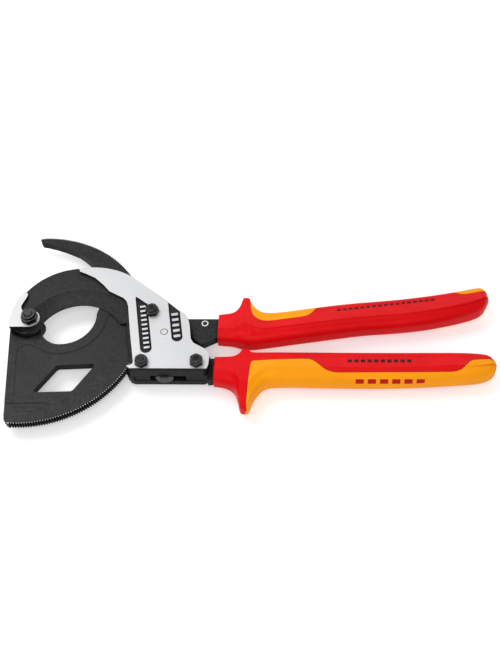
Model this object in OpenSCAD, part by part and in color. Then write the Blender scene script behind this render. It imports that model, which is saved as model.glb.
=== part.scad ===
// Ratchet cable cutter with a fixed forged jaw, a toothed sector blade and two insulated handles.
// The origin is the handle pivot axis where it leaves the back plate. +X runs to the handle ends,
// +Y to the moving handle and +Z out of the front of the tool. Head outlines are measured from the
// blade pivot axis, so that the toothed rim and everything that meets it share one centre.

/* [Head] */
// Distance along X from the blade pivot to the handle pivot
pivot_dx = 81.5; // [81.2:0.1:82]
// Distance along Y from the blade pivot to the handle pivot
pivot_dy = 5.7; // [5.4:0.1:6]
// Thickness of the back plate
plate_t = 4.2; // [3.5:0.1:4.2]
// Depth of the channel between the back plate and the jaw
channel_h = 6.3; // [6.2:0.1:6.8]
// Thickness of the jaw's black crescent
crescent_t = 5.5; // [5:0.1:6]
// Thickness of the jaw at its ground lands
land_t = 7.5; // [7:0.1:8]
// Depth of the two recessed panels in the land
panel_depth = 1.4; // [0.8:0.1:1.8]
// Lowest edge of the head
head_bottom = -39.8; // [-40.5:0.1:-39]

/* [Cutting edges] */
// Radius of the fixed cutting edge
fixed_edge_r = 30; // [29.5:0.1:30.5]
// Radial width of the bevel on the fixed jaw
fixed_bevel_w = 10; // [6:0.5:12]
// Radius of the outer part of the moving edge
moving_edge_r = 22.4; // [22:0.1:22.8]
// Radius of the moving edge near the pivot
moving_heel_r = 14.2; // [13.8:0.1:14.4]
// Radial width of the bevel behind the moving edge
moving_bevel_w = 5; // [3:0.5:6]

/* [Ratchet] */
// Radius of the blade's rim over the tooth tips
rim_r = 75.4; // [75:0.1:75.4]
// Angle from one tooth to the next, in degrees
tooth_pitch = 1.28; // [1.2:0.04:1.6]
// Depth of a tooth
tooth_depth = 1.2; // [1:0.1:1.4]
// Clearance between a resting pawl and the tooth tips
pawl_gap = 0.15; // [0.1:0.05:0.3]
// Clearance of a running fit, on the radius
run_gap = 0.05; // [0.02:0.01:0.09]

/* [Fasteners] */
// Thread diameter of the blade pivot bolt
pivot_bolt_d = 6; // [6:1:6]
// Thread diameter of the three frame bolts
frame_bolt_d = 5; // [5:1:5]
// Diameter of the plain pins
pin_d = 4; // [3.5:0.1:4.2]

/* [Handles] */
// Thickness of the grips
grip_t = 19; // [18:0.5:20]
// Thickness of the guard flanges
guard_t = 21; // [20:0.5:24]
// Thickness of the steel arm and tang inside the handles
steel_t = 6; // [5.6:0.1:6]
// Depth of the steel inside each handle
steel_reach = 60; // [40:5:80]

/* [Hidden] */
$fn = 64;

// Heights of the layers above the rest face
shear_z = plate_t + channel_h;
land_z = shear_z + land_t;
mid_z = plate_t + channel_h / 2;
side_gap = 0.1;
blade_t = channel_h - 2 * side_gap;
layer_t = (channel_h - 3 * side_gap) / 2;
eps = 0.01;

// Set-back of the pin ends, X where the grips start, and the guard flange along X
pin_inset = 0.3;
handle_x = 125;
guard_x = 140.8;
guard_w = 8.8;

// Bolt and pin centres, from the blade pivot
handle_pivot = [pivot_dx, pivot_dy];
front_tang_bolt = [77.8, -34.2];
rear_tang_bolt = [113.2, -33.8];
pawl_pin = [90.6, -10.4];
stop_pin_at = [88.6, 9.7];
drive_heel = [79.3, -10];
drive_heel_r = 2.9;
drive_nose_a = 1.4;
retain_nose_a = -3;

// Centres of the arcs of the jaw, the blade and the land, from the blade pivot
jaw_centre = [31, -1];
jaw_r = 44.3;
land_centre = [38, -7];
land_r = 49.8;
fixed_edge_centre = [33.2, -14.4];
moving_edge_low = [20.3, -15.4];
sector_a = [-93, 92.4];

black = [0.13, 0.13, 0.14];
ground = [0.86, 0.87, 0.88];
zinc = [0.35, 0.35, 0.37];
red = [0.82, 0.06, 0.09];
yellow = [0.98, 0.68, 0.1];

function polar(r, a) = [r * cos(a), r * sin(a)];
function arc(c, r, a0, a1, n) = [for (i = [0:n]) c + polar(r, a0 + (a1 - a0) * i / n)];
function direction(a, b) = atan2(b[1] - a[1], b[0] - a[0]);

module from_blade_pivot(z = 0) {
    translate([-pivot_dx, -pivot_dy, z]) children();
}

module at(p, z = 0) {
    translate([p[0], p[1], z]) children();
}

module disc(r, h, p = [0, 0], z = 0) {
    at(p, z) cylinder(r = r, h = h);
}

// A straight bar with round ends between two points, h thick
module bar(a, b, ra, rb, h) {
    side = acos((ra - rb) / norm(b - a));
    way = direction(a, b);
    linear_extrude(h) polygon(concat(arc(b, rb, way - side, way + side, 16),
        arc(a, ra, way + side, way + 360 - side, 16)));
}

// Head outline shared by the land and the back plate: everything right of the blade's face
head_right = [[67.3, 33], [93, 12.9], [103.6, 3.4], [105.6, 0.6], [107.1, -5.3], [108.4, -15.7],
    [110.3, -18.9], [117.6, -23.3], [120.4, -25.8], [121.3, -29.2], [120.9, head_bottom + 4],
    [119.9, head_bottom + 1.2], [117.5, head_bottom]];

module land_2d() {
    polygon(concat(arc(land_centre, land_r, 101.5, 55, 12), head_right,
        [[71.8, head_bottom], [69.8, -38.3], [68.1, -36.6], [70.8, -35.9], [72, -34.8],
         [72.1, -33.2], [68.2, -11.1], [64.8, 10.4], [63.3, 14.5], [60.7, 17.1], [50.8, 22.6],
         [46.8, 27.4], [40, 33.8], [34, 37], [28.9, 39.2], [28.2, 40.8]]));
}

// Narrow black step on the blade side of the land
module land_step_2d() {
    polygon([[60, 28], [70, 10], [77, -36], [77, head_bottom], [71.5, head_bottom],
        [69.4, -37.8], [69.9, -33.2], [65.9, -11.1], [62.5, 9.8], [61.2, 13.2], [58.7, 15.6],
        [47, 22.2], [40, 26], [40, 40]]);
}

module crescent_2d() {
    difference() {
        at(jaw_centre) circle(r = jaw_r);
        at(fixed_edge_centre) circle(r = fixed_edge_r);
        polygon([[5.5, 0.6], [9, 0.6], [33, 0], [70, 0.4], [90, -60], [-30, -60], [-30, -6.4],
            [-11, -6.6], [0, -6.6]]);
    }
}

// Bright tab that carries the pivot nut
module tab_2d() {
    intersection() {
        at(jaw_centre) circle(r = jaw_r);
        union() {
            polygon([[-14, -6.6], [0, -6.6], [4, 3.5], [-6, 6.4], [-7.3, 9], [-7.2, 11],
                [-4.8, 17.2], [-4.2, 19.6], [-5.2, 21.4], [-8, 23.5], [-16, 20]]);
            circle(r = 6.5);
        }
    }
}

// Pivot boss under the tab
module boss_2d() {
    intersection() {
        at(jaw_centre) circle(r = jaw_r + 0.6);
        at([-3, 1]) circle(r = 10.2);
    }
}

// Recessed panels: slanted slots, the front one with its top cut parallel to the land's edge
module panel_front() {
    difference() {
        bar([79.7, -23.2], [73, 17], 3.75, 3.75, panel_depth + 1);
        at([0, 0], -1) linear_extrude(panel_depth + 3)
            polygon([[60, 19.5], [70.2, 17.6], [77.2, 12.2], [80, 20], [70, 30]]);
    }
}

module panel_rear() {
    bar([99.4, -14.4], [93.6, 22], 3.6, 3.6, panel_depth + 1);
}

// Raised generic dashes where the panels carry relief
mark_h = 0.8;
front_mark_pitch = [-0.6, 3.6];
rear_mark_pitch = [-0.69, 4.3];
module panel_marks() {
    for (i = [0:9])
        at([79.7, -22.2] + i * front_mark_pitch, land_z - panel_depth - eps)
            rotate(10) translate([-1.6, -0.8, 0]) cube([3.8, 1.6, mark_h]);
    for (i = [0:4])
        at([99.2, -13.2] + i * rear_mark_pitch, land_z - panel_depth - eps)
            rotate(10) translate([-2.2, -1, 0]) cube([4.4, 2, mark_h]);
}

// Countersink round the lever pin and chamfer along the lower edge of the land
pin_seat = 0.45;
land_chamfer = 1.2;

module frame_bolt_holes(z, h) {
    for (p = [handle_pivot, front_tang_bolt, rear_tang_bolt])
        disc(frame_bolt_d / 2 + run_gap, h, p, z);
}

module fixed_jaw() {
    color(black) from_blade_pivot() difference() {
        union() {
            at([0, 0], shear_z) linear_extrude(crescent_t) union() {
                crescent_2d();
                land_step_2d();
                land_2d();
            }
            at([0, 0], shear_z) linear_extrude(land_t) land_2d();
            at([0, 0], shear_z) linear_extrude(3.2) boss_2d();
            at([0, 0], shear_z) linear_extrude(land_t) tab_2d();
        }
        // Bevel that leaves a sharp edge at the shear plane
        at(fixed_edge_centre, shear_z + 0.4)
            cylinder(r1 = fixed_edge_r, r2 = fixed_edge_r + fixed_bevel_w, h = crescent_t - 0.4 + eps);
        at([0, 0], land_z - panel_depth) panel_front();
        at([0, 0], land_z - panel_depth) panel_rear();
        disc(pivot_bolt_d / 2 + run_gap, land_t + 2, [0, 0], shear_z - 1);
        frame_bolt_holes(shear_z - 1, land_t + 2);
        disc(pin_d / 2, land_t + 2, pawl_pin, shear_z - 1);
        at(pawl_pin, land_z - pin_seat) cylinder(r1 = pin_d / 2, r2 = pin_d / 2 + pin_seat + eps,
            h = pin_seat + eps);
        disc(pin_d / 2, stop_pin_grip + 0.5, stop_pin_at, shear_z - eps);
        // Black chamfer along the lower edge of the land
        translate([66, head_bottom, land_z - land_chamfer]) rotate([45, 0, 0])
            cube([60, 3 * land_chamfer, 3 * land_chamfer]);
    }
    color(black) from_blade_pivot() intersection() {
        panel_marks();
        at([0, 0], shear_z) linear_extrude(land_t) land_2d();
    }
}

// Rear frame plate; the blade's rim passes over its left part
module back_plate() {
    color(black) from_blade_pivot() difference() {
        linear_extrude(plate_t) polygon(concat([[60, 36.2]], head_right,
            [[72, head_bottom], [69.6, -38.8], [67.6, -36.4], [63, -26], [60, -8], [57, 12],
             [50, 30], [52, 38]]));
        for (p = [handle_pivot, front_tang_bolt, rear_tang_bolt]) {
            disc(frame_bolt_d / 2 + run_gap, plate_t + 2, p, -1);
            countersink(p, run_gap);
        }
        disc(pin_d / 2, plate_t + 2, pawl_pin, -1);
        disc(pin_d / 2, plate_t + 2, stop_pin_at, -1);
    }
}

// Bolt head: radius and depth of its seat in the back plate, and how far it sits below the face
sink_r = 4.7;
sink_h = 2.6;
head_inset = 0.25;
module countersink(p, gap) {
    at(p, -eps) cylinder(r1 = sink_r + gap, r2 = frame_bolt_d / 2 + gap, h = sink_h + eps);
}

// Countersunk bolt with a hexagon socket, head in the back plate
module frame_bolt(p, tip_z) {
    at(p) difference() {
        union() {
            translate([0, 0, head_inset])
                cylinder(r1 = sink_r - head_inset, r2 = frame_bolt_d / 2, h = sink_h - head_inset);
            translate([0, 0, head_inset]) cylinder(r = frame_bolt_d / 2, h = tip_z - 0.5 - head_inset);
            translate([0, 0, tip_z - 0.5 - eps])
                cylinder(r1 = frame_bolt_d / 2, r2 = frame_bolt_d / 2 - 0.5, h = 0.5);
        }
        translate([0, 0, -1]) cylinder(r = 1.73, h = 3, $fn = 6);
    }
}

// Lock nut: whole height, height of its hexagon, and a collar that holds the soft insert
nut_h = 5;
nut_hex_h = 3.6;
module lock_nut(p, d, af, h, hex_h, turn) {
    at(p, land_z) difference() {
        union() {
            rotate(turn) intersection() {
                cylinder(r = af / 2 / cos(30), h = hex_h, $fn = 6);
                cylinder(r1 = af / 2 + 0.9, r2 = af / 2 + 0.25, h = hex_h);
            }
            translate([0, 0, hex_h - eps])
                cylinder(r1 = af / 2 - 0.15, r2 = af / 2 - 0.75, h = h - hex_h);
        }
        translate([0, 0, -1]) cylinder(r = d / 2, h = h + 2);
        translate([0, 0, hex_h - 0.2]) cylinder(r = d / 2 + 0.8, h = h - hex_h - 0.2);
    }
}

module lock_insert(p, d, h, hex_h) {
    at(p, land_z + hex_h - 0.15) difference() {
        cylinder(r = d / 2 + 0.75, h = h - hex_h - 0.3);
        translate([0, 0, -1]) cylinder(r = d / 2, h = h);
    }
}

pivot_nut_h = 6;
pivot_hex_h = 4.2;
pivot_washer_t = 0.8;
pivot_head_h = 3;
module pivot_bolt() {
    head_z = plate_t - pivot_washer_t - pivot_head_h;
    color(zinc) from_blade_pivot(head_z) difference() {
        union() {
            cylinder(r1 = 5.1, r2 = 5.5, h = 0.5);
            translate([0, 0, 0.5 - eps]) cylinder(r = 5.5, h = pivot_head_h - 0.5 + eps);
            cylinder(r = pivot_bolt_d / 2, h = land_z + pivot_nut_h - head_z);
            translate([0, 0, land_z + pivot_nut_h - head_z - eps])
                cylinder(r1 = pivot_bolt_d / 2, r2 = pivot_bolt_d / 2 - 0.7, h = 0.7);
        }
        translate([0, 0, -1]) cylinder(r = 2.31, h = 3, $fn = 6);
    }
}

bush_r = 4;
module pivot_bush() {
    color(zinc) from_blade_pivot(plate_t) difference() {
        cylinder(r = bush_r, h = channel_h);
        translate([0, 0, -1]) cylinder(r = pivot_bolt_d / 2 + run_gap, h = channel_h + 2);
    }
}

module pivot_washer() {
    color(zinc) from_blade_pivot(plate_t - pivot_washer_t) difference() {
        cylinder(r = 8, h = pivot_washer_t);
        translate([0, 0, -1]) cylinder(r = pivot_bolt_d / 2 + run_gap, h = pivot_washer_t + 2);
    }
}

module pivot_nut() {
    color(black) from_blade_pivot() lock_nut([0, 0], pivot_bolt_d, 10, pivot_nut_h, pivot_hex_h, 30);
}

frame_bolt_tip = land_z + nut_h + 0.2;
module handle_bolt() {
    color(zinc) from_blade_pivot() frame_bolt(handle_pivot, frame_bolt_tip);
}

module handle_bush() {
    color(zinc) from_blade_pivot() at(handle_pivot, plate_t) difference() {
        cylinder(r = bush_r, h = channel_h);
        translate([0, 0, -1]) cylinder(r = frame_bolt_d / 2 + run_gap, h = channel_h + 2);
    }
}

module tang_bolts() {
    color(zinc) from_blade_pivot() {
        frame_bolt(front_tang_bolt, frame_bolt_tip);
        frame_bolt(rear_tang_bolt, frame_bolt_tip);
    }
}

module frame_nuts() {
    color(black) from_blade_pivot() {
        lock_nut(handle_pivot, frame_bolt_d, 8, nut_h, nut_hex_h, 12);
        lock_nut(front_tang_bolt, frame_bolt_d, 8, nut_h, nut_hex_h, 30);
        lock_nut(rear_tang_bolt, frame_bolt_d, 8, nut_h, nut_hex_h, 30);
    }
}

module nut_inserts() {
    color("ivory") from_blade_pivot() {
        lock_insert([0, 0], pivot_bolt_d, pivot_nut_h, pivot_hex_h);
        for (p = [handle_pivot, front_tang_bolt, rear_tang_bolt])
            lock_insert(p, frame_bolt_d, nut_h, nut_hex_h);
    }
}

stop_pin_grip = 3.5;
module stop_pin() {
    color(zinc) from_blade_pivot()
        disc(pin_d / 2, shear_z + stop_pin_grip - pin_inset, stop_pin_at, pin_inset);
}

// Sawtooth rim from one end of the sector to the other
function rim_points() = [for (a = [sector_a[0]:tooth_pitch:sector_a[1]])
    each [polar(rim_r, a), polar(rim_r - tooth_depth, a + tooth_pitch * 0.4)]];

moving_edge_centre = moving_edge_low + [0, moving_edge_r];
heel_centre = moving_edge_low + [0, moving_heel_r];
hub_r = 10.5;
module blade_2d() {
    polygon(concat(rim_points(),
        [[-4.2, 74.4], [-5, 73.2], [-3.6, 71.3], [0.5, 70.5], [6.5, 68.7], [14, 65.9],
         [23.6, 61.4], [27.8, 58.2], [32.6, 53.8], [38, 48.5], [42.6, 41], [45.2, 32], [45.4, 20]],
        arc(moving_edge_centre, moving_edge_r, 6, -90, 14),
        arc(heel_centre, moving_heel_r, -94, -178, 10),
        [[5.9, 1], [5.6, 8.9]],
        arc([0, 0], hub_r, 58, 135, 8),
        [[-12.4, 3], [-14.4, -4.4], [-8.1, -69.4], [-7.4, -72.6], [-5.8, -74.4]]));
}

module blade_window_2d() {
    polygon([[21.6, -31.6], [44.4, -30.4], [45.6, -31], [45.5, -32.2], [33.8, -50.4],
        [32.4, -51.2], [9.6, -52.1], [8.4, -51.4], [8.5, -50.2], [20.2, -32.4]]);
}

module blade_pocket_2d() {
    polygon(concat([[-1.4, -56.8], [-3.8, -55.2], [-5.3, -43.7], [-7.3, -24.5], [-6.8, -19.3],
        [-4.4, -16.6], [-1, -15.3], [2.4, -15.8]],
        arc(moving_edge_centre, moving_edge_r + 7, -106, -4, 14), [[52, 12], [61, 14]],
        arc([0, 0], 63, 10, -58, 12), [[27.6, -55], [22, -56.6]]));
}

module label_pocket_2d() {
    polygon([[-9.4, -60.4], [17.4, -59.6], [20.6, -61.4], [22, -64.6], [10, -70], [-8.4, -71]]);
}

pocket_depth = 0.4;
module moving_blade() {
    blade_z = plate_t + side_gap;
    top_z = blade_z + blade_t;
    color(black) from_blade_pivot() difference() {
        at([0, 0], blade_z) linear_extrude(blade_t) blade_2d();
        disc(bush_r + run_gap, blade_t + 2, [0, 0], blade_z - 1);
        at([0, 0], blade_z - 1) linear_extrude(blade_t + 2) blade_window_2d();
        at([0, 0], top_z - pocket_depth) linear_extrude(1) blade_pocket_2d();
        at([0, 0], top_z - pocket_depth) linear_extrude(1) label_pocket_2d();
        disc(12.8, 2, [0, 0], top_z - 0.7);
        // Bevel on the hidden side of the outer cutting edge
        intersection() {
            at(moving_edge_centre, blade_z - eps) cylinder(r1 = moving_edge_r + moving_bevel_w,
                r2 = moving_edge_r - 0.3, h = blade_t - 0.5);
            at(moving_edge_low + [0, -10], blade_z - 1) cube([40, 40, blade_t + 2]);
        }
    }
    // Plain raised bars in the label pocket
    color(black) from_blade_pivot(top_z - pocket_depth - eps)
        for (y = [-63, -66.4]) translate([-3, y, 0]) cube([18 + y + 63, 1.5, 0.25]);
}

// Steel tang of the fixed handle; it also spaces the two frame plates
module fixed_handle_tang() {
    tang_end = handle_x + steel_reach;
    slot_h = layer_t + 2 * side_gap;
    color(black) from_blade_pivot() difference() {
        union() {
            at([0, 0], plate_t) linear_extrude(channel_h) polygon([[73.2, head_bottom + 0.3],
                [72.8, -25.4], [75.6, -21.2], [84, -20.2], [112, -20.2], [121, -24.6],
                [121, head_bottom + 2], [119.5, head_bottom + 0.3], [106.3, head_bottom + 0.3],
                [104.8, -33.5], [101.5, -30], [84.5, -30], [82.6, -32], [82.6, head_bottom + 0.3]]);
            at([0, 0], mid_z - steel_t / 2) linear_extrude(steel_t) polygon([[118, -22.6],
                [121.4, -26.2], [tang_end, -28], [tang_end, -39], [126, -42.4], [120.4, -43.2],
                [119, -38]]);
        }
        disc(frame_bolt_d / 2 + run_gap, channel_h + 2, front_tang_bolt, plate_t - 1);
        disc(frame_bolt_d / 2 + run_gap, channel_h + 2, rear_tang_bolt, plate_t - 1);
        // Slot in the rear face where the release lever crosses
        translate([83.4, -32.5, plate_t - eps]) cube([14.2, 14, slot_h]);
    }
}

arm_hub_r = 5.7;
front_layer_z = plate_t + 2 * side_gap + layer_t;
drive_nose = polar(rim_r + pawl_gap + 0.7, drive_nose_a);

// Steel arm of the moving handle, with the socket for the drive pawl's round heel
module moving_handle_arm() {
    arm_end = handle_x + steel_reach;
    swing_a = direction(drive_heel, drive_nose);
    color(black) from_blade_pivot() difference() {
        union() {
            at([0, 0], mid_z - steel_t / 2) linear_extrude(steel_t) union() {
                at(handle_pivot) circle(r = arm_hub_r);
                polygon([[81.5, 0.1], [85, 10.2], [87, 7], [88.6, 5], [126, 5], [150, 3.6],
                    [arm_end, 8], [arm_end, -3], [150, -8], [126, -9.3], [115.6, -14.8],
                    [114.1, -14.6], [107.2, -9.1], [98, -4.8]]);
            }
            at([0, 0], front_layer_z) bar(handle_pivot, drive_heel, 4.9, 3.7, layer_t);
        }
        disc(bush_r + run_gap, channel_h + 1, handle_pivot, plate_t - 0.5);
        disc(rim_r + 0.15, channel_h + 1, [0, 0], plate_t - 0.5);
        disc(drive_heel_r + run_gap, channel_h + 1, drive_heel, plate_t - 0.5);
        // Room for the pawl's swing and its spring
        at(drive_heel, plate_t - 0.5) linear_extrude(channel_h + 1) polygon(concat(
            arc([0, 0], 2.3, swing_a + 105, swing_a + 255, 12),
            arc([0, 0], 15, swing_a - 11, swing_a + 17, 8)));
        at([0, 0], plate_t - 0.5) linear_extrude(channel_h + 1) polygon([[80.2, -7.6],
            [82.1, -5.65], [82.2, -5.2], [80.6, -2.2], [79.2, -0.9], [77, -0.5], [76.5, -3]]);
        disc(2.5, 1, [116.2, 1.7], mid_z + steel_t / 2 - 0.25);
    }
}

module drive_pawl() {
    color(zinc) from_blade_pivot(front_layer_z) {
        disc(drive_heel_r, layer_t, drive_heel);
        bar(drive_heel, drive_nose, 1.9, 0.7, layer_t);
    }
}

module drive_pawl_spring() {
    color("silver") from_blade_pivot(front_layer_z + 0.6) linear_extrude(layer_t - 1.2)
        polygon([[81.6, -5.6], [82, -5.5], [80.2, -2.6], [78.2, -1], [78.1, -1.3], [79.8, -2.9]]);
}

// Release lever and retaining pawl in one forging, on the pin that is flush with the land
lever_foot = [92, -33];
module retaining_pawl() {
    nose = polar(rim_r + pawl_gap + 0.9, retain_nose_a);
    color(zinc) from_blade_pivot(plate_t + side_gap) difference() {
        union() {
            disc(4.2, layer_t, pawl_pin);
            bar(pawl_pin, nose, 4, 0.9, layer_t);
            bar(pawl_pin, lever_foot, 3.8, 2.9, layer_t);
            translate([lever_foot[0] - 2, lever_foot[1] - 4.4, 0]) cube([4, 5, layer_t]);
        }
        disc(pin_d / 2 + run_gap, layer_t + 2, pawl_pin, -1);
    }
}

module retaining_pawl_pin() {
    color(ground) from_blade_pivot() disc(pin_d / 2, land_z - pin_inset, pawl_pin, pin_inset);
}

// Bellows that stands for a small coil spring between the tang and the lever
module retaining_pawl_spring() {
    coil_n = 6;
    coil_p = 1;
    color("silver") from_blade_pivot() translate([82.7, -33, plate_t + side_gap + layer_t / 2])
        rotate([0, 90, 0]) rotate_extrude() polygon(concat(
            [for (i = [0:coil_n * 2]) [i % 2 == 0 ? 1.0 : 1.4, i * coil_p / 2]],
            [for (i = [coil_n * 2:-1:0]) [i % 2 == 0 ? 0.5 : 0.9, i * coil_p / 2]]));
}

// Knurled oval end of the release lever
pad_top = -35.6;
pad_end = head_bottom - 1.8;
module thumb_pad() {
    pad_r = 2.8;
    dome_r = 9;
    color(black) from_blade_pivot() difference() {
        intersection() {
            translate([lever_foot[0], pad_top, mid_z]) rotate([90, 0, 0])
                bar([-3, 0], [3, 0], pad_r, pad_r, pad_top - pad_end);
            translate([lever_foot[0], pad_end + dome_r, mid_z]) sphere(dome_r);
        }
        // Socket for the lever's foot
        translate([lever_foot[0] - 2.05, pad_end + 3, plate_t - 1])
            cube([4.1, 10, layer_t + side_gap + 1.1]);
        for (i = [-4:4], turn = [-35, 35])
            translate([lever_foot[0] + i * 1.3, pad_end + i * i * 0.09, mid_z]) rotate([0, turn, 0])
                rotate(45) cube([0.5, 0.5, 12], center = true);
    }
}

// Outer outlines of the two insulated handles, inner edge first
fixed_outline = [[124, -24.8], [136, -24.4], [140, -22.2], [141.8, -18.4], [143, -17.6],
    [145.6, -17.8], [147, -20.4], [150, -21.4], [158, -21.5], [200, -21.4], [250, -21.4],
    [274, -21.4], [292, -22], [300, -23.6],
    [304.2, -26.8], [305.5, -30], [304.2, -33.8], [300, -37.5], [292, -40.5], [274, -42.3],
    [250, -44.3], [225, -45], [200, -44.6], [161, -43.7], [154.7, -47], [149.6, -55],
    [147.4, -62.4], [146.2, -64.1], [142.4, -64.1], [141.2, -62.4], [139.8, -55],
    [137.5, -48.7], [131, -45], [124, -44]];
moving_outline = [[125.3, -12.1], [137, -13.4], [142.5, -15], [147, -15.2], [152, -14.9],
    [177, -10.6], [202, -6.7], [221, -3.7], [246, -1.8], [265, 1.1], [284, 5.7], [297, 10],
    [302.5, 14.5], [305.6, 20.5], [305.4, 26], [302.5, 30], [297, 30.2], [285, 27.4],
    [260, 22.9], [234, 19.7], [215, 18.1], [189, 14.2], [170, 10.7], [157.5, 9.6], [152, 11.4],
    [147, 17.2], [146, 21.4], [145, 22.6], [141.8, 22.8], [140.8, 21.6], [139.8, 15.9],
    [135.9, 10.4], [125.3, 8.8]];

// Regions of the soft component: the wide one shows on one face and the narrow one on the other
fixed_wide = [[147.8, -30], [152, -30.2], [186, -28.6], [190, -32], [194, -37], [201, -39.3],
    [279, -38.4], [285, -34.4], [288.5, -29.6], [306, -28.6], [306, -66], [145.4, -66],
    [147.2, -40]];
fixed_narrow = [[144.8, -58], [147.5, -46], [155, -40], [172, -39.6], [182, -43], [276, -41],
    [283, -38.5], [294, -34.4], [299.5, -31.2], [306, -30.6], [306, -66], [144.8, -66]];
moving_wide = [[144.8, -16], [147.5, -11.6], [177, -7.6], [190, 1.5], [200, 5.4], [262, 13.6],
    [270, 9.4], [276, 6], [306, 16], [306, 32], [144.8, 32]];
moving_narrow = [[146, 26], [146.2, 18.5], [147, 7.5], [151, 2.4], [157.4, 0.4], [184.7, 5],
    [190, 11.5], [191.5, 17], [276, 29], [281, 27], [284.5, 24.2], [288.5, 22.8], [303, 25.8],
    [306, 27], [306, 34], [146, 34]];

// A handle's whole body: grip thickness all along, and a thicker guard flange
module handle_body(outline) {
    at([0, 0], mid_z - grip_t / 2) linear_extrude(grip_t) polygon(outline);
    at([0, 0], mid_z - guard_t / 2) linear_extrude(guard_t) intersection() {
        polygon(outline);
        translate([guard_x, -70]) square([guard_w, 100]);
    }
}

module soft_region(front, rear) {
    at([0, 0], mid_z) linear_extrude(guard_t) polygon(front);
    at([0, 0], mid_z - guard_t) linear_extrude(guard_t) polygon(rear);
}

// Room for the steel inside a handle: its edges at the mouth (y0, y1) and at the end (y2, y3)
module steel_pocket(y0, y1, y2, y3) {
    end = handle_x + steel_reach + 0.2;
    at([0, 0], mid_z - steel_t / 2 - 0.05) linear_extrude(steel_t + 0.1)
        polygon([[120, y0], [150, (y0 + y2) / 2 + 1], [end, y2], [end, y3], [150, y1 + 1.5],
            [120, y1]]);
}

module fixed_pocket() {
    steel_pocket(-25.9, -43.2, -27.8, -39.2);
}

module moving_pocket() {
    steel_pocket(5.1, -10.4, 8.2, -3.2);
}

module fixed_handle_sleeve() {
    color(red) from_blade_pivot() difference() {
        handle_body(fixed_outline);
        soft_region(fixed_wide, fixed_narrow);
        fixed_pocket();
    }
}

module fixed_handle_grip() {
    color(yellow) from_blade_pivot() difference() {
        intersection() {
            handle_body(fixed_outline);
            soft_region(fixed_wide, fixed_narrow);
        }
        fixed_pocket();
    }
}

module moving_handle_sleeve() {
    color(red) from_blade_pivot() difference() {
        handle_body(moving_outline);
        soft_region(moving_narrow, moving_wide);
        moving_pocket();
    }
}

module moving_handle_grip() {
    color(yellow) from_blade_pivot() difference() {
        intersection() {
            handle_body(moving_outline);
            soft_region(moving_narrow, moving_wide);
        }
        moving_pocket();
    }
}

fixed_jaw();
back_plate();
moving_blade();
pivot_bolt();
pivot_bush();
pivot_washer();
pivot_nut();
handle_bolt();
handle_bush();
tang_bolts();
frame_nuts();
nut_inserts();
stop_pin();
fixed_handle_tang();
fixed_handle_sleeve();
fixed_handle_grip();
moving_handle_arm();
moving_handle_sleeve();
moving_handle_grip();
drive_pawl();
drive_pawl_spring();
retaining_pawl();
retaining_pawl_pin();
retaining_pawl_spring();
thumb_pad();
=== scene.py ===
"""Looks of the ratchet cable cutter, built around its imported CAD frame."""
import math

import bmesh
import bpy
from mathutils import Matrix, Vector


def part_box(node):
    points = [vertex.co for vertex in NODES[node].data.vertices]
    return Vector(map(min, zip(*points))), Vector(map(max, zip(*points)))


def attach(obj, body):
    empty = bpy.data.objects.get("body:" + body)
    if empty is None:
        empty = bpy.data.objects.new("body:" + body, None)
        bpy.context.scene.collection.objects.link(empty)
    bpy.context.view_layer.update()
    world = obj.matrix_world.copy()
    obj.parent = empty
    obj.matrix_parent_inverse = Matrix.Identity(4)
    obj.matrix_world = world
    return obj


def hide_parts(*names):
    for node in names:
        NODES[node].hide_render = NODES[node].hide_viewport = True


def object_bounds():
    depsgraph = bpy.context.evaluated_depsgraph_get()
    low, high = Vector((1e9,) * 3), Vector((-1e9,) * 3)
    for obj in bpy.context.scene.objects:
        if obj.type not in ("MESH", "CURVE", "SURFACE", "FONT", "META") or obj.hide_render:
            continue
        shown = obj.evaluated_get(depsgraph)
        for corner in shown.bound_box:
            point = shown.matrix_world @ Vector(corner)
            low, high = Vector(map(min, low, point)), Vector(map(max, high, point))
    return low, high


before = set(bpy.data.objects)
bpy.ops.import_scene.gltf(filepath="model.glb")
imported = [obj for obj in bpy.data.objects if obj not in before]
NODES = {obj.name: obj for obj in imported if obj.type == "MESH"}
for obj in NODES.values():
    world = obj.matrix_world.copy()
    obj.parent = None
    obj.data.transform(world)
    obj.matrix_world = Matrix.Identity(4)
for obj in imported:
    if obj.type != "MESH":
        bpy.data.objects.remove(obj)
cad_low, cad_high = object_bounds()

MM = 0.001

# Heights taken from the frame: the ground land, the top of the blade and the lowest point
LAND_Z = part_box("fixed_jaw")[1][2]
BLADE_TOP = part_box("moving_blade")[1][2]
FLOOR_Z = cad_low[2]

# Where the blade pivot is, and the middle layer of the handles
PIVOT_LOW, PIVOT_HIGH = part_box("pivot_bush")
BLADE_PIVOT = Vector(((PIVOT_LOW[0] + PIVOT_HIGH[0]) / 2, (PIVOT_LOW[1] + PIVOT_HIGH[1]) / 2, 0))
MID_Z = (PIVOT_LOW[2] + PIVOT_HIGH[2]) / 2

# Features that the metal finishes follow, in mm from the blade pivot
THROAT_CENTRE = (33.2, -14.4)
BEVEL_R = (36, 42)
TOOTH_TIPS_R = (74.6, 75.1)
# Painted highlight: the tips of the teeth are painted bright only where they lie away from the end
# of the tail, on the side that faces the light
HIGHLIGHT_CENTRE = (0, 80)
HIGHLIGHT_R = (75, 80)
ARM_MARK = (116.2, 1.7)
ARM_MARK_R = (1.5, 2.3)

# How far the tops of the raised marks lie below the land, and half the handles' steel; in mm
MARK_DROP_MM = 0.6
STEEL_HALF = 3.05


# ---------------------------------------------------------------- materials

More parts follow.
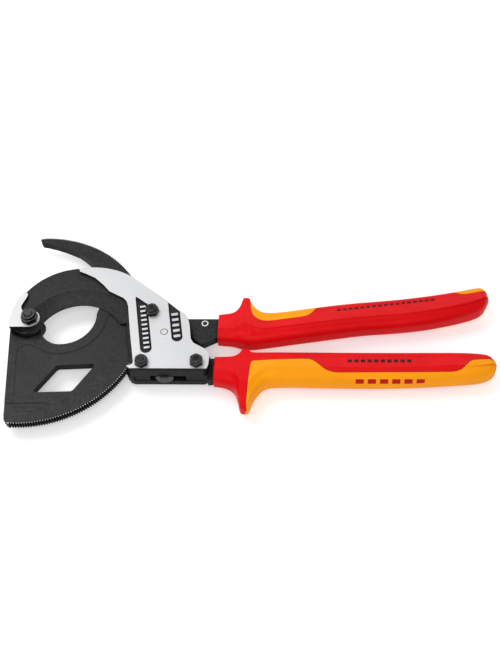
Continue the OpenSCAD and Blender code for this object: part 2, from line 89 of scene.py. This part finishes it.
class Shader:
    """A node material whose parts are added one at a time."""

    def __init__(self, name):
        self.mat = bpy.data.materials.new(name)
        self.mat.use_nodes = True
        self.tree = self.mat.node_tree
        self.bsdf = self.tree.nodes["Principled BSDF"]
        self.coords = self.node("ShaderNodeTexCoord").outputs["Object"]

    def node(self, kind, **settings):
        n = self.tree.nodes.new(kind)
        for key, value in settings.items():
            setattr(n, key, value)
        return n

    def link(self, source, target):
        self.tree.links.new(source, target)

    def fill(self, socket, value):
        if hasattr(value, "is_output"):
            self.link(value, socket)
        else:
            socket.default_value = value

    def noise(self, size_mm, detail=3.0, stretch=(1, 1, 1)):
        """Noise whose features are about size_mm across, drawn out along stretch."""
        mapping = self.node("ShaderNodeMapping")
        mapping.inputs["Scale"].default_value = [1 / s for s in stretch]
        self.link(self.coords, mapping.inputs["Vector"])
        noise = self.node("ShaderNodeTexNoise")
        noise.inputs["Scale"].default_value = 1 / (size_mm * MM)
        noise.inputs["Detail"].default_value = detail
        self.link(mapping.outputs["Vector"], noise.inputs["Vector"])
        return noise.outputs["Fac"]

    def ramp(self, fac, low, high, a=0.35, b=0.65):
        """Maps fac from [a, b] to [low, high]."""
        n = self.node("ShaderNodeMapRange")
        self.fill(n.inputs["Value"], fac)
        n.inputs["From Min"].default_value = a
        n.inputs["From Max"].default_value = b
        n.inputs["To Min"].default_value = low
        n.inputs["To Max"].default_value = high
        return n.outputs["Result"]

    def math(self, operation, a, b=0.0, c=0.0):
        n = self.node("ShaderNodeMath", operation=operation)
        for socket, value in zip(n.inputs, (a, b, c)):
            self.fill(socket, value)
        return n.outputs["Value"]

    def mix(self, fac, a, b):
        n = self.node("ShaderNodeMix", data_type="RGBA")
        self.fill(n.inputs["Factor"], fac)
        self.fill(n.inputs["A"], a)
        self.fill(n.inputs["B"], b)
        return n.outputs["Result"]

    def mix_value(self, fac, a, b):
        n = self.node("ShaderNodeMix", data_type="FLOAT")
        self.fill(n.inputs["Factor"], fac)
        self.fill(n.inputs["A"], a)
        self.fill(n.inputs["B"], b)
        return n.outputs["Result"]

    def bump(self, height, depth_mm, strength=1.0, normal=None):
        n = self.node("ShaderNodeBump")
        if normal:
            self.link(normal, n.inputs["Normal"])
        n.inputs["Strength"].default_value = strength
        n.inputs["Distance"].default_value = depth_mm * MM
        self.link(height, n.inputs["Height"])
        self.link(n.outputs["Normal"], self.bsdf.inputs["Normal"])

    def set(self, **values):
        for key, value in values.items():
            self.fill(self.bsdf.inputs[key.replace("_", " ")], value)

    def recolour(self, mask, colour):
        """Changes the colour where mask is 1."""
        socket = self.bsdf.inputs["Base Color"]
        self.link(self.mix(mask, socket.links[0].from_socket, colour), socket)

    def overlay(self, mask, colour, metallic, roughness):
        """Lays a second finish over the material where mask is 1."""
        self.recolour(mask, colour)
        for key, value in (("Metallic", metallic), ("Roughness", roughness)):
            socket = self.bsdf.inputs[key]
            before = socket.links[0].from_socket if socket.is_linked else socket.default_value
            self.link(self.mix_value(mask, before, value), socket)

    def soft_edges(self, radius_mm):
        """Normal with edges rounded to a radius, and a mask that is 1 on those edges."""
        bevel = self.node("ShaderNodeBevel", samples=6)
        bevel.inputs["Radius"].default_value = radius_mm * MM
        geometry = self.node("ShaderNodeNewGeometry")
        match = self.node("ShaderNodeVectorMath", operation="DOT_PRODUCT")
        self.link(bevel.outputs["Normal"], match.inputs[0])
        self.link(geometry.outputs["Normal"], match.inputs[1])
        return bevel.outputs["Normal"], self.ramp(match.outputs["Value"], 1.0, 0.0, 0.80, 0.985)

    def facing_up(self):
        """The upright part of the surface normal."""
        normal = self.node("ShaderNodeSeparateXYZ")
        self.link(self.node("ShaderNodeNewGeometry").outputs["Normal"], normal.inputs[0])
        return normal.outputs["Z"]

    def openness(self, reach_mm):
        """1 in the open, falling to 0 in corners and narrow recesses."""
        shade = self.node("ShaderNodeAmbientOcclusion", samples=6)
        shade.inputs["Distance"].default_value = reach_mm * MM
        return self.ramp(shade.outputs["AO"], 0.0, 1.0, 0.4, 0.95)


def rgb(r, g, b):
    return (r, g, b, 1.0)


def burnished_steel(name, base=0.006, rough=0.44, shine=0.25, edge_mm=0.25, edge_colour=0.17,
                    wall=0.5):
    """Blackened steel: blast grain, faint mottling, painted shade on side walls and in corners, and
    edges painted slightly brighter, partly as wear and partly as painted highlight.
    """
    s = Shader(name)
    mottle = s.noise(11.0, 4)
    grain = s.noise(0.9, 4)
    dark = s.mix(s.ramp(mottle, 0, 1), rgb(base * 0.8, base * 0.8, base * 0.82),
                 rgb(base * 1.25, base * 1.25, base * 1.28))
    # Painted shade: side walls keep only the share wall of the shine, so they look darker than the
    # faces
    wall_shade = s.ramp(s.math("ABSOLUTE", s.facing_up()), wall, 1.0, 0.3, 0.8)
    # Painted shade: corners and narrow recesses lose shine as if in shade
    lit = s.math("MULTIPLY", wall_shade, s.math("MULTIPLY_ADD", s.openness(2.5), 0.8, 0.2))
    normal, edge = s.soft_edges(edge_mm)
    # Edges painted brighter in patches: partly wear, partly painted highlight
    worn_and_highlit = s.math("MULTIPLY", edge, s.ramp(s.noise(2.5, 3), 0.2, 0.8))
    s.set(Base_Color=s.mix(worn_and_highlit, dark, rgb(edge_colour, edge_colour, edge_colour * 1.03)),
          Metallic=0.1,
          Specular_IOR_Level=s.math("MULTIPLY", s.ramp(grain, 0.6 * shine, 1.4 * shine), lit),
          Roughness=s.math("ADD", s.ramp(mottle, rough - 0.03, rough + 0.05),
                           s.ramp(grain, -0.03, 0.03)))
    s.bump(grain, 0.02, 0.45, normal)
    return s


def ground_finish(s, mask):
    """Lays a bright, surface-ground finish over shader s where mask is 1."""
    lines = s.noise(0.25, 3, stretch=(60, 1, 1))
    cloud = s.noise(14.0, 3)
    bright = s.mix(s.ramp(lines, 0, 1), rgb(0.47, 0.475, 0.485), rgb(0.53, 0.535, 0.545))
    bright = s.mix(s.ramp(cloud, 0.0, 0.35), bright, rgb(0.50, 0.505, 0.515))
    s.overlay(mask, bright, 0.35, s.ramp(lines, 0.34, 0.5))


def radius_mask(s, centre, near, far):
    """0 within near and 1 beyond far from an upright axis; all in mm from the blade pivot."""
    flat = s.node("ShaderNodeVectorMath", operation="MULTIPLY")
    s.link(s.coords, flat.inputs[0])
    flat.inputs[1].default_value = (1, 1, 0)
    gap = s.node("ShaderNodeVectorMath", operation="DISTANCE")
    s.link(flat.outputs["Vector"], gap.inputs[0])
    gap.inputs[1].default_value = (BLADE_PIVOT.x + centre[0] * MM,
                                   BLADE_PIVOT.y + centre[1] * MM, 0)
    return s.ramp(gap.outputs["Value"], 0.0, 1.0, near * MM, far * MM)


def top_face_mask(s, z, tolerance_mm=0.35):
    """1 on faces that look up and lie within a tolerance of height z."""
    position = s.node("ShaderNodeSeparateXYZ")
    s.link(s.coords, position.inputs[0])
    high = s.math("COMPARE", position.outputs["Z"], z, tolerance_mm * MM)
    flat = s.math("GREATER_THAN", s.facing_up(), 0.9)
    return s.math("MULTIPLY", high, flat)


# ---------------------------------------------------------------- insulated handles

# Outlines seen from the front, in mm from the blade pivot: the edge towards +Y, then towards -Y
FIXED_UPPER = [(124, -24.8), (136, -24.4), (140, -22.2), (141.8, -18.4), (143, -17.6),
               (145.6, -17.8), (147, -20.4), (150, -21.4), (158, -21.5), (200, -21.4),
               (250, -21.4), (274, -21.4), (292, -22), (300, -23.6), (304.2, -26.8),
               (305.5, -30)]
FIXED_LOWER = [(124, -44), (131, -45), (137.5, -48.7), (139.8, -55), (141.2, -62.4),
               (142.4, -64.1), (146.2, -64.1), (147.4, -62.4), (149.6, -55), (154.7, -47),
               (161, -43.7), (200, -44.6), (225, -45), (250, -44.3), (274, -42.4), (292, -41),
               (300, -38.6), (304.4, -35), (305.5, -30)]
MOVING_UPPER = [(125.3, 8.8), (135.9, 10.4), (139.8, 15.9), (140.8, 21.6), (141.8, 22.8),
                (145, 22.6), (146, 21.4), (147, 17.2), (152, 11.4), (157.5, 9.6), (170, 10.7),
                (189, 14.2), (215, 18.1), (234, 19.7), (260, 22.9), (285, 27.4), (297, 30.2),
                (302.5, 30), (305.4, 26), (305.6, 20.5)]
MOVING_LOWER = [(125.3, -12.1), (137, -13.4), (142.5, -15), (147, -15.2), (152, -14.9),
                (177, -10.6), (202, -6.7), (221, -3.7), (246, -1.8), (265, 1.1), (284, 5.7),
                (297, 10), (302.5, 14.5), (305.6, 20.5)]

# Soft component: the wide region shows on one face of a handle and the narrow one on the other
FIXED_WIDE = [(147.8, -30), (152, -30.2), (186, -28.6), (190, -32), (194, -37), (201, -39.3),
              (279, -38.4), (285, -34.4), (288.5, -29.6), (306, -28.6), (306, -66), (145.4, -66),
              (147.2, -40)]
FIXED_NARROW = [(144.8, -58), (147.5, -46), (155, -40), (172, -39.6), (182, -43), (276, -41),
                (283, -38.5), (294, -34.4), (299.5, -31.2), (306, -30.6), (306, -66), (144.8, -66)]
MOVING_WIDE = [(144.8, -16), (147.5, -11.6), (177, -7.6), (190, 1.5), (200, 5.4), (262, 13.6),
               (270, 9.4), (276, 6), (306, 16), (306, 32), (144.8, 32)]
MOVING_NARROW = [(146, 26), (146.2, 18.5), (147, 7.5), (151, 2.4), (157.4, 0.4), (184.7, 5),
                 (190, 11.5), (191.5, 17), (276, 29), (281, 27), (284.5, 24.2), (288.5, 22.8),
                 (303, 25.8), (306, 27), (306, 34), (146, 34)]

# Mouth of a handle, its rounding and how much thinner it starts
START_X = 124.2
MOUTH_ROUND = 1.2
MOUTH_TAPER = 0.1

# Printed rows: start point, pitch, count, height, slope
FIXED_RED_ROW = ((210, -31.3, 16), 4.2, 10, 1.9, 0.003)
MOVING_RED_ROW = ((203.9, 8.5, 16), 3.9, 17, 1.5, 0.135)
FIXED_YELLOW_ROW = ((214.8, -46.9, 16), 7.7, 6, 3.0, 0.004)

# Half thicknesses of grip, guard and sleeve, and the distances where they change
GRIP_HALF = 9.4
GUARD_HALF = 10.4
SLEEVE_HALF = 7.9
GUARD_START, GUARD_PEAK, GUARD_BACK, GUARD_END = 134, 142.5, 146.5, 160

# The grip is thinnest in the middle of its waist
WAIST_START, WAIST_LENGTH, WAIST_DEPTH = 160, 140, 0.7

# Rounding of the tip and how far its thickness closes, and the gap between the components
TIP_ROUND = 6.5
TIP_CLOSING = 0.985
SEAM = 0.22

# Distances between cross-sections, and the number of them in the tip
CLOSE_STEP, WIDE_STEP = 0.3, 1.5
TIP_STEPS = 16

# Slope of the faces, rounding of the edges, and the angle above which an edge stays sharp
FACE_SLOPE = 0.19
LOW_ROUND, HIGH_ROUND = 6.0, 4.6
SHARP_ANGLE = math.radians(38)

# Where the ridge lies between the lower and the upper edge
FIXED_RIDGE, MOVING_RIDGE = 0.36, 0.32


def smooth_line(points, rounds=3):
    """Corner-cut copy of an open line; its ends stay."""
    for _ in range(rounds):
        cut = [points[0]]
        for (ax, ay), (bx, by) in zip(points, points[1:]):
            cut.append((0.75 * ax + 0.25 * bx, 0.75 * ay + 0.25 * by))
            cut.append((0.25 * ax + 0.75 * bx, 0.25 * ay + 0.75 * by))
        cut.append(points[-1])
        points = cut
    return points


def height_at(line, x, pick):
    """The line's y at x; where the line turns back, pick chooses."""
    found = []
    for (ax, ay), (bx, by) in zip(line, line[1:]):
        if min(ax, bx) <= x <= max(ax, bx) and ax != bx:
            found.append(ay + (by - ay) * (x - ax) / (bx - ax))
    return pick(found)


def clamp(u):
    return min(max(u, 0), 1)


def ease(a, b, x):
    """Smooth step from 0 at a to 1 at b."""
    u = clamp((x - a) / (b - a))
    return u * u * (3 - 2 * u)


def half_thickness(x, tip):
    """Half the handle's thickness at distance x: sleeve, guard flange, grip and rounded tip."""
    along_waist = clamp((x - WAIST_START) / WAIST_LENGTH)
    waist = GRIP_HALF - WAIST_DEPTH * math.sin(math.pi * along_waist) ** 2
    flare = (1 - clamp((x - GUARD_BACK) / (GUARD_END - GUARD_BACK))) ** 3
    grip = waist + (GUARD_HALF - GRIP_HALF) * flare
    half = SLEEVE_HALF + (grip - SLEEVE_HALF) * ease(GUARD_START, GUARD_PEAK, x)
    into_tip = clamp((x - (tip - TIP_ROUND)) / TIP_ROUND)
    into_front = clamp((x - START_X) / MOUTH_ROUND)
    mouth = 1 - MOUTH_TAPER + MOUTH_TAPER * math.sqrt(into_front * (2 - into_front))
    return half * math.sqrt(1 - TIP_CLOSING * into_tip ** 2) * mouth


def stations(start, tip):
    """Distances along the handle, closer together at the guard and at the tip."""
    xs = [start]
    while xs[-1] < tip - TIP_ROUND:
        close = GUARD_START - 2 < xs[-1] < GUARD_BACK + 12 or xs[-1] < start + MOUTH_ROUND
        xs.append(xs[-1] + (CLOSE_STEP if close else WIDE_STEP))
    xs = [x for x in xs if x < tip - TIP_ROUND]
    xs += [tip - TIP_ROUND * (1 - math.sin(math.pi / 2 * i / TIP_STEPS)) for i in range(TIP_STEPS)]
    xs.append(tip - 0.02)
    return xs


def new_object(name, bm):
    mesh = bpy.data.meshes.new(name)
    bmesh.ops.recalc_face_normals(bm, faces=bm.faces)
    bm.to_mesh(mesh)
    bm.free()
    obj = bpy.data.objects.new(name, mesh)
    bpy.context.scene.collection.objects.link(obj)
    return obj


def place(x, y, z):
    """Point in the frame, in metres, from mm measured from the blade pivot and the middle layer."""
    return Vector((BLADE_PIVOT.x + x * MM, BLADE_PIVOT.y + y * MM, MID_Z + z * MM))


def between(a, b):
    """The three points that divide the line from a to b into quarters."""
    return [(a[0] + (b[0] - a[0]) * t, a[1] + (b[1] - a[1]) * t) for t in (0.25, 0.5, 0.75)]


def half_section(low, high, half, ridge):
    """Front half of a cross-section as (y, z) points, from the low edge to the high edge."""
    crest = low + ridge * (high - low)
    side_low = half - FACE_SLOPE * (crest - low)
    side_high = half - FACE_SLOPE * (high - crest)
    round_low = min(LOW_ROUND, 0.42 * (high - low), 0.7 * side_low)
    round_high = min(HIGH_ROUND, 0.42 * (high - low), 0.7 * side_high)
    points = []
    for i in range(4):
        points.append((low, (side_low - round_low) * (i + 0.5) / 4))
    for i in range(8):
        a = math.pi / 2 * i / 7
        points.append((low + round_low * (1 - math.cos(a)),
                       side_low - round_low * (1 - math.sin(a))))
    flat_low, flat_high = points[-1], (high - round_high, side_high)
    near = min(0.35, 0.2 * (high - low))
    top = (crest, half)
    points += between(flat_low, top)
    for offset in (-near, 0, near):
        points.append((crest + offset, half - FACE_SLOPE * abs(offset)))
    points += between(top, flat_high)
    for i in range(8):
        a = math.pi / 2 * i / 7
        points.append((high - round_high * (1 - math.sin(a)),
                       side_high - round_high * (1 - math.cos(a))))
    for i in range(4):
        points.append((high, (side_high - round_high) * (3.5 - i) / 4))
    return points


def handle_body(name, upper, lower, ridge):
    """Lofted handle with rounded edges and a soft ridge along each face."""
    upper, lower = smooth_line(upper), smooth_line(lower)
    tip = min(max(x for x, y in upper), max(x for x, y in lower))
    start = max(upper[0][0], lower[0][0])
    bm = bmesh.new()
    rings = []
    for x in stations(start, tip):
        high, low = height_at(upper, x, max), height_at(lower, x, min)
        half = half_thickness(x - start + START_X if x < start + MOUTH_ROUND else x, tip)
        front = half_section(low, high, half, ridge)
        outline = front + [(y, -z) for y, z in reversed(front)]
        rings.append([bm.verts.new(place(x, y, z)) for y, z in outline])
    count = len(rings[0])
    for a, b in zip(rings, rings[1:]):
        for i in range(count):
            j = (i + 1) % count
            bm.faces.new((a[i], a[j], b[j], b[i]))
    bm.faces.new(rings[0])
    bm.faces.new(rings[-1])
    return new_object(name, bm)


def prism(name, outline, low, high):
    """Upright prism over an outline in mm from the blade pivot; heights from the middle layer."""
    bm = bmesh.new()
    floor = [bm.verts.new(place(x, y, low)) for x, y in outline]
    top = [bm.verts.new(place(x, y, high)) for x, y in outline]
    bm.faces.new(floor)
    bm.faces.new(top)
    for i in range(len(outline)):
        j = (i + 1) % len(outline)
        bm.faces.new((floor[i], floor[j], top[j], top[i]))
    return new_object(name, bm)


def carve(obj, tool, operation):
    """Applies a boolean with tool to obj's mesh."""
    mod = obj.modifiers.new("carve", "BOOLEAN")
    mod.operation = operation
    mod.solver = "EXACT"
    mod.object = tool
    bpy.context.view_layer.update()
    depsgraph = bpy.context.evaluated_depsgraph_get()
    mesh = bpy.data.meshes.new_from_object(obj.evaluated_get(depsgraph))
    obj.modifiers.clear()
    old = obj.data
    obj.data = mesh
    bpy.data.meshes.remove(old)


def soft_region(front, rear, grow):
    """Region of the soft component as one closed solid, grown by a seam's width."""
    lip = GUARD_HALF + 2
    region = prism("region", grown(front, grow), 0, lip)
    other = prism("region_rear", grown(rear, grow), -lip, 0.01)
    carve(region, other, "UNION")
    bpy.data.objects.remove(other)
    return region


def grown(outline, amount):
    """Outline moved outwards by amount along its corners' normals."""
    area = sum(ax * by - bx * ay for (ax, ay), (bx, by) in zip(outline, outline[1:] + outline[:1]))
    side = 1 if area > 0 else -1
    out = []
    for i, (x, y) in enumerate(outline):
        px, py = outline[i - 1]
        nx, ny = outline[(i + 1) % len(outline)]
        before = Vector((x - px, y - py)).normalized()
        after = Vector((nx - x, ny - y)).normalized()
        normal = Vector((before.y + after.y, -before.x - after.x)).normalized() * side
        out.append((x + normal.x * amount, y + normal.y * amount))
    return out


def rounded(outline):
    """Outline with its corners cut round, as moulded regions have."""
    for _ in range(3):
        cut = []
        for (ax, ay), (bx, by) in zip(outline, outline[1:] + outline[:1]):
            length = math.hypot(bx - ax, by - ay)
            t = min(0.25, 2.0 / length)
            cut.append((ax + (bx - ax) * t, ay + (by - ay) * t))
            cut.append((bx - (bx - ax) * t, by - (by - ay) * t))
        outline = cut
    return outline


def build_handle(prefix, body, upper, lower, ridge, front, rear, pocket, red, yellow):
    """The hard sleeve and the soft grip of one handle, from one lofted body."""
    front, rear = rounded(front), rounded(rear)
    sleeve = handle_body(prefix + "_sleeve_loft", upper, lower, ridge)
    grip = handle_body(prefix + "_grip_loft", upper, lower, ridge)
    hollow = prism("hollow", pocket, -STEEL_HALF, STEEL_HALF)
    for obj, region, operation in ((sleeve, soft_region(front, rear, SEAM), "DIFFERENCE"),
                                   (grip, soft_region(front, rear, 0), "INTERSECT")):
        carve(obj, region, operation)
        carve(obj, hollow, "DIFFERENCE")
        bpy.data.objects.remove(region)
        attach(obj, body)
    bpy.data.objects.remove(hollow)
    for obj, shader, node in ((sleeve, red, prefix + "_sleeve"), (grip, yellow, prefix + "_grip")):
        obj.data.materials.clear()
        obj.data.materials.append(shader.mat)
        for polygon in obj.data.polygons:
            polygon.use_smooth = True
        obj.data.set_sharp_from_angle(angle=SHARP_ANGLE)
        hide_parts(node)


def pocket_outline(y0, y1, y2, y3, end):
    """Room for the steel in a handle: its edges at the mouth (y0, y1) and at the end (y2, y3)."""
    return [(120, y0), (150, (y0 + y2) / 2 + 1), (end, y2), (end, y3), (150, y1 + 1.5), (120, y1)]


# ---------------------------------------------------------------- plated steel, plastics and print

def plated(name, dark, light, rough):
    """Bright metal with slow clouding and a fine grain."""
    s = Shader(name)
    cloud = s.noise(4.0, 4)
    fine = s.noise(0.3, 2)
    s.set(Base_Color=s.mix(s.ramp(cloud, 0, 1), dark, light), Metallic=0.9,
          Roughness=s.ramp(cloud, rough - 0.05, rough + 0.1))
    s.bump(fine, 0.01, 0.3)
    return s


def plastic(name, light, dark, rough, grain_mm, shine=0.08):
    """Moulded plastic: slow colour drift, fine moulding grain, faint handling marks."""
    s = Shader(name)
    drift = s.noise(28.0, 3)
    grain = s.noise(grain_mm, 2)
    rub = s.noise(5.0, 5, stretch=(3, 1, 1))
    s.set(Base_Color=s.mix(s.ramp(drift, 0, 1), dark, light),
          Roughness=s.math("ADD", s.ramp(rub, rough - 0.05, rough + 0.07),
                           s.ramp(grain, -0.03, 0.03)),
          Specular_IOR_Level=shine)
    s.bump(grain, 0.03, 0.3)
    return s


# Direction across a row of printed dashes, which is up in the camera's view, and the printed
# share of each pitch
ROW_Y, ROW_Z = 0.829, 0.559
DASH_SHARE = 0.68


def print_dashes(s, start, pitch, count, height, slope, colour):
    """Prints a row of plain dashes on shader s.

    start is x and y in mm from the blade pivot, and z in mm in the frame.
    """
    position = s.node("ShaderNodeSeparateXYZ")
    s.link(s.coords, position.inputs[0])
    along = s.math("SUBTRACT", position.outputs["X"], BLADE_PIVOT.x + start[0] * MM)
    step = s.math("DIVIDE", along, pitch * MM)
    inside = s.math("COMPARE", step, count / 2, count / 2)
    filled = s.math("LESS_THAN", s.math("FRACT", step), DASH_SHARE)
    up = s.math("MULTIPLY_ADD", position.outputs["Y"], ROW_Y,
                s.math("MULTIPLY", position.outputs["Z"], ROW_Z))
    offset = (BLADE_PIVOT.y + start[1] * MM) * ROW_Y + start[2] * MM * ROW_Z
    across = s.math("SUBTRACT", up, s.math("MULTIPLY_ADD", along, slope * ROW_Y, offset))
    row = s.math("COMPARE", across, 0.0, height / 2 * MM)
    mask = s.math("MULTIPLY", s.math("MULTIPLY", inside, filled),
                  s.math("MULTIPLY", row, s.math("GREATER_THAN", s.facing_up(), 0.05)))
    s.recolour(mask, colour)


# ---------------------------------------------------------------- studio

# What the camera looks at, its direction back and right, its distance in m, and its lens in mm
TARGET = Vector((65.0 * MM, -12.3 * MM, 10.5 * MM))
CAMERA_BACK = Vector((0.0488, -0.5585, 0.828)).normalized()
CAMERA_RIGHT = Vector((0.9988, 0.0292, -0.0391))
CAMERA_DISTANCE = 0.6604
CAMERA_LENS, CAMERA_SENSOR = 53.97, 36

# Soft lights: name, place in m, size in m, power in W
LIGHTS = [("key", (-0.30, 0.25, 0.75), (0.45, 0.4), 3.2),
          ("front", (0.05, -0.55, 0.80), (0.7, 0.5), 3.2),
          ("back", (0.15, 0.8, 0.35), (0.9, 0.3), 1.6)]
WORLD_STRENGTH = 0.60

# Floor: half its side and its gap below the object, in m, and its own glow
FLOOR_HALF = 3.0
FLOOR_GAP = 0.0004
FLOOR_GLOW = 0.36


def studio_camera():
    data = bpy.data.cameras.new("camera")
    data.lens = CAMERA_LENS
    data.sensor_width = CAMERA_SENSOR
    cam = bpy.data.objects.new("camera", data)
    bpy.context.scene.collection.objects.link(cam)
    up = CAMERA_BACK.cross(CAMERA_RIGHT).normalized()
    right = up.cross(CAMERA_BACK)
    turn = Matrix((right, up, CAMERA_BACK)).transposed()
    stand = Matrix.Translation(TARGET + CAMERA_BACK * CAMERA_DISTANCE)
    cam.matrix_world = stand @ turn.to_4x4()
    bpy.context.scene.camera = cam


def soft_light(name, location, size, power):
    data = bpy.data.lights.new(name, "AREA")
    data.shape = "RECTANGLE"
    data.size, data.size_y = size
    data.energy = power
    lamp = bpy.data.objects.new(name, data)
    bpy.context.scene.collection.objects.link(lamp)
    lamp.location = location
    lamp.rotation_euler = (TARGET - Vector(location)).to_track_quat("-Z", "Y").to_euler()


def studio():
    bpy.context.scene.view_settings.view_transform = "Standard"
    world = bpy.data.worlds.new("studio")
    world.use_nodes = True
    background = world.node_tree.nodes["Background"]
    background.inputs["Color"].default_value = rgb(1, 1, 1)
    background.inputs["Strength"].default_value = WORLD_STRENGTH
    bpy.context.scene.world = world
    for light in LIGHTS:
        soft_light(*light)
    bm = bmesh.new()
    corners = ((-1, -1), (1, -1), (1, 1), (-1, 1))
    bm.faces.new([bm.verts.new((x * FLOOR_HALF, y * FLOOR_HALF, FLOOR_Z - FLOOR_GAP))
                  for x, y in corners])
    floor = new_object("floor", bm)
    s = Shader("floor_paper")
    cloud = s.noise(120.0, 2)
    s.set(Base_Color=s.mix(s.ramp(cloud, 0, 1), rgb(0.70, 0.70, 0.70), rgb(0.73, 0.73, 0.73)),
          Roughness=0.85, Emission_Color=rgb(1, 1, 1), Emission_Strength=FLOOR_GLOW)
    floor.data.materials.append(s.mat)


# ---------------------------------------------------------------- the object

def dress(node, shader):
    """Gives a CAD piece its material."""
    obj = NODES[node]
    obj.data.materials.clear()
    obj.data.materials.append(shader.mat)


def metals():
    jaw = burnished_steel("jaw_steel")
    bevel = radius_mask(jaw, THROAT_CENTRE, BEVEL_R[1], BEVEL_R[0])
    # Lighter in patches towards the cutting edge, fading out across BEVEL_R: partly the ground
    # bevel's own tone, partly painted sheen
    ground_tone_and_sheen = jaw.math("MULTIPLY", bevel, jaw.ramp(jaw.noise(4.0, 3), 0.5, 1.0))
    jaw.recolour(ground_tone_and_sheen, rgb(0.021, 0.021, 0.0215))
    ground_finish(jaw, top_face_mask(jaw, LAND_Z))
    marks = top_face_mask(jaw, LAND_Z - MARK_DROP_MM * MM, 0.15)
    jaw.overlay(marks, rgb(0.42, 0.42, 0.43), 0.8, 0.42)
    dress("fixed_jaw", jaw)
    black = burnished_steel("black_steel")
    for node in ("back_plate", "fixed_handle_tang"):
        dress(node, black)
    # The knurled pad's edges are painted bright (edge_colour=0.35): partly wear, partly painted
    # highlight
    dress("thumb_pad", burnished_steel("pad_steel", base=0.03, rough=0.36, shine=0.5,
                                       edge_colour=0.35, wall=1.0))
    # Painted shade: the blade's side walls, the teeth's flanks among them, keep even less shine
    # (wall=0.3)
    blade = burnished_steel("blade_steel", wall=0.3)
    # Painted highlight: the tops of the teeth are painted bright on the side that faces the light
    tips = blade.math("MULTIPLY", radius_mask(blade, (0, 0), *TOOTH_TIPS_R),
                      top_face_mask(blade, BLADE_TOP, 0.3))
    highlit_side = radius_mask(blade, HIGHLIGHT_CENTRE, *HIGHLIGHT_R)
    blade.overlay(blade.math("MULTIPLY", tips, highlit_side), rgb(0.55, 0.55, 0.56), 0.6, 0.35)
    dress("moving_blade", blade)
    arm = burnished_steel("arm_steel")
    inside = radius_mask(arm, ARM_MARK, ARM_MARK_R[1] + 0.05, ARM_MARK_R[1] - 0.1)
    outside = radius_mask(arm, ARM_MARK, ARM_MARK_R[0] - 0.05, ARM_MARK_R[0] + 0.1)
    front = top_face_mask(arm, MID_Z + STEEL_HALF * MM, 0.5)
    ring = arm.math("MULTIPLY", arm.math("MULTIPLY", inside, outside), front)
    arm.overlay(ring, rgb(0.62, 0.62, 0.61), 0.8, 0.4)
    dress("moving_handle_arm", arm)
    # Painted highlight: the fasteners' edges are painted bright (edge_colour=0.45), and their side
    # walls get painted shade
    dark = burnished_steel("black_fastener", base=0.002, rough=0.2, shine=0.22, edge_mm=0.5,
                           edge_colour=0.45, wall=0.6)
    for node in ("pivot_bolt", "handle_bolt", "tang_bolts", "pivot_nut", "frame_nuts"):
        dress(node, dark)
    zinc = plated("zinc_plate", rgb(0.52, 0.52, 0.5), rgb(0.66, 0.66, 0.64), 0.3)
    for node in ("drive_pawl", "retaining_pawl", "stop_pin"):
        dress(node, zinc)
    dress("retaining_pawl_pin",
          plated("pin_steel", rgb(0.40, 0.40, 0.40), rgb(0.48, 0.48, 0.48), 0.4))
    bright = plated("bright_steel", rgb(0.6, 0.6, 0.6), rgb(0.75, 0.75, 0.76), 0.22)
    for node in ("pivot_bush", "handle_bush", "pivot_washer", "drive_pawl_spring",
                 "retaining_pawl_spring"):
        dress(node, bright)
    dress("nut_inserts", plastic("nylon", rgb(0.82, 0.82, 0.8), rgb(0.72, 0.72, 0.7),
                                 rough=0.45, grain_mm=0.4, shine=0.4))


def steel_end(node):
    """Where a handle's pocket ends: just past its steel, in mm from the blade pivot."""
    return (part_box(node)[1][0] - BLADE_PIVOT.x) / MM + 0.2


def handles():
    red = plastic("red_nylon", rgb(0.66, 0.002, 0.005), rgb(0.57, 0.001, 0.003),
                  rough=0.38, grain_mm=0.5)
    yellow = plastic("yellow_soft", rgb(0.85, 0.305, 0.004), rgb(0.80, 0.275, 0.003),
                     rough=0.5, grain_mm=0.4)
    print_dashes(red, *FIXED_RED_ROW, rgb(0.055, 0.002, 0.003))
    print_dashes(red, *MOVING_RED_ROW, rgb(0.10, 0.002, 0.003))
    print_dashes(yellow, *FIXED_YELLOW_ROW, rgb(0.42, 0.008, 0.006))
    build_handle("fixed_handle", "frame", FIXED_UPPER, FIXED_LOWER, FIXED_RIDGE,
                 FIXED_WIDE, FIXED_NARROW,
                 pocket_outline(-25.9, -43.2, -27.8, -39.2, steel_end("fixed_handle_tang")),
                 red, yellow)
    build_handle("moving_handle", "moving_handle", MOVING_UPPER, MOVING_LOWER, MOVING_RIDGE,
                 MOVING_NARROW, MOVING_WIDE,
                 pocket_outline(5.1, -10.4, 8.2, -3.2, steel_end("moving_handle_arm")),
                 red, yellow)


metals()
handles()
studio()
studio_camera()
